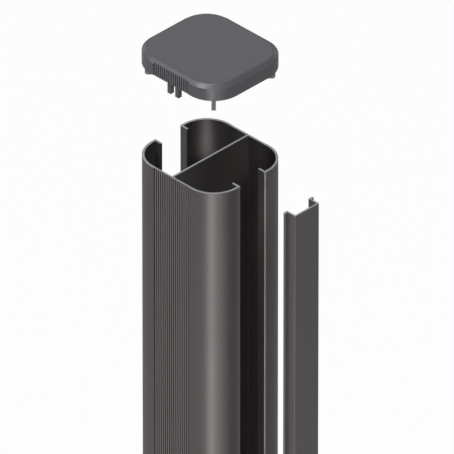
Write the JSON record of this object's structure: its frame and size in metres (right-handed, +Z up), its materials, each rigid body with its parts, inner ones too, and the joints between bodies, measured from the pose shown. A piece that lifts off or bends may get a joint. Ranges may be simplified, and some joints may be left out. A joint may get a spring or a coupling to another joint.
{
  "type": "fence post",
  "caption": "Slotted fence post with rounded corners, a central web and fluted sides, its plug-in end cap lifted off and a snap-in slot cover beside it.",
  "frame": {"origin": "middle of the web at the post's lower sawn end, on the ground", "axes": "+Z up the post, slots facing +X and -X, fluted sides facing +Y and -Y, cover strip on the +X side"},
  "size_m": [0.125, 0.07, 1.0817],
  "materials": {
    "post_coating": "satin dark grey powder coat over aluminium, bare where sawn",
    "cap_plastic": "fine moulded texture, dark grey",
    "strip_coating": "satin dark grey powder coat over aluminium, bare where sawn"
  },
  "bodies": {
    "root": {"post": "post_coating", "cap": "cap_plastic", "cover_strip": "strip_coating"}
  },
  "joints": []
}
